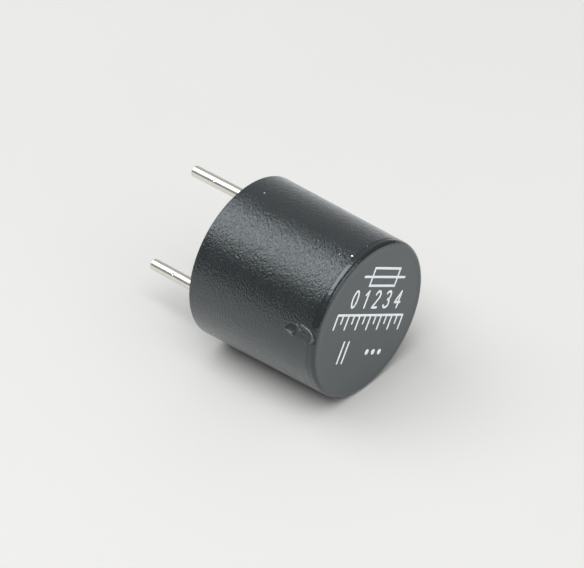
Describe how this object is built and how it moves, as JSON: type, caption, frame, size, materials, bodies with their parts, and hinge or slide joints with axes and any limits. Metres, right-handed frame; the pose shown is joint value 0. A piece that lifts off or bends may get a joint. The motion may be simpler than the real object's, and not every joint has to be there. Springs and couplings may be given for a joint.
{
  "type": "subminiature fuse",
  "caption": "Round black moulded subminiature fuse with radial wire leads, standing on a rib over the board, its wound element inside the cap.",
  "frame": {"origin": "centre of the stand-off rib's lower face, which seats on the board", "axes": "+Z along the body from the board towards the closed head, +X from the left lead to the right lead"},
  "size_m": [0.0084, 0.0084, 0.0125],
  "materials": {
    "moulding": "fine spark-eroded grain on the side, smoother satin on the head",
    "lead": "bright tinned copper",
    "core": "unglazed ceramic",
    "fuse_wire": "drawn wire",
    "solder": "satin solder"
  },
  "bodies": {
    "root": {"cap": "moulding", "base": "moulding", "lead_left": "lead", "lead_right": "lead", "element_core": "core", "element_wire": "fuse_wire", "solder_left": "solder", "solder_right": "solder"}
  },
  "joints": []
}
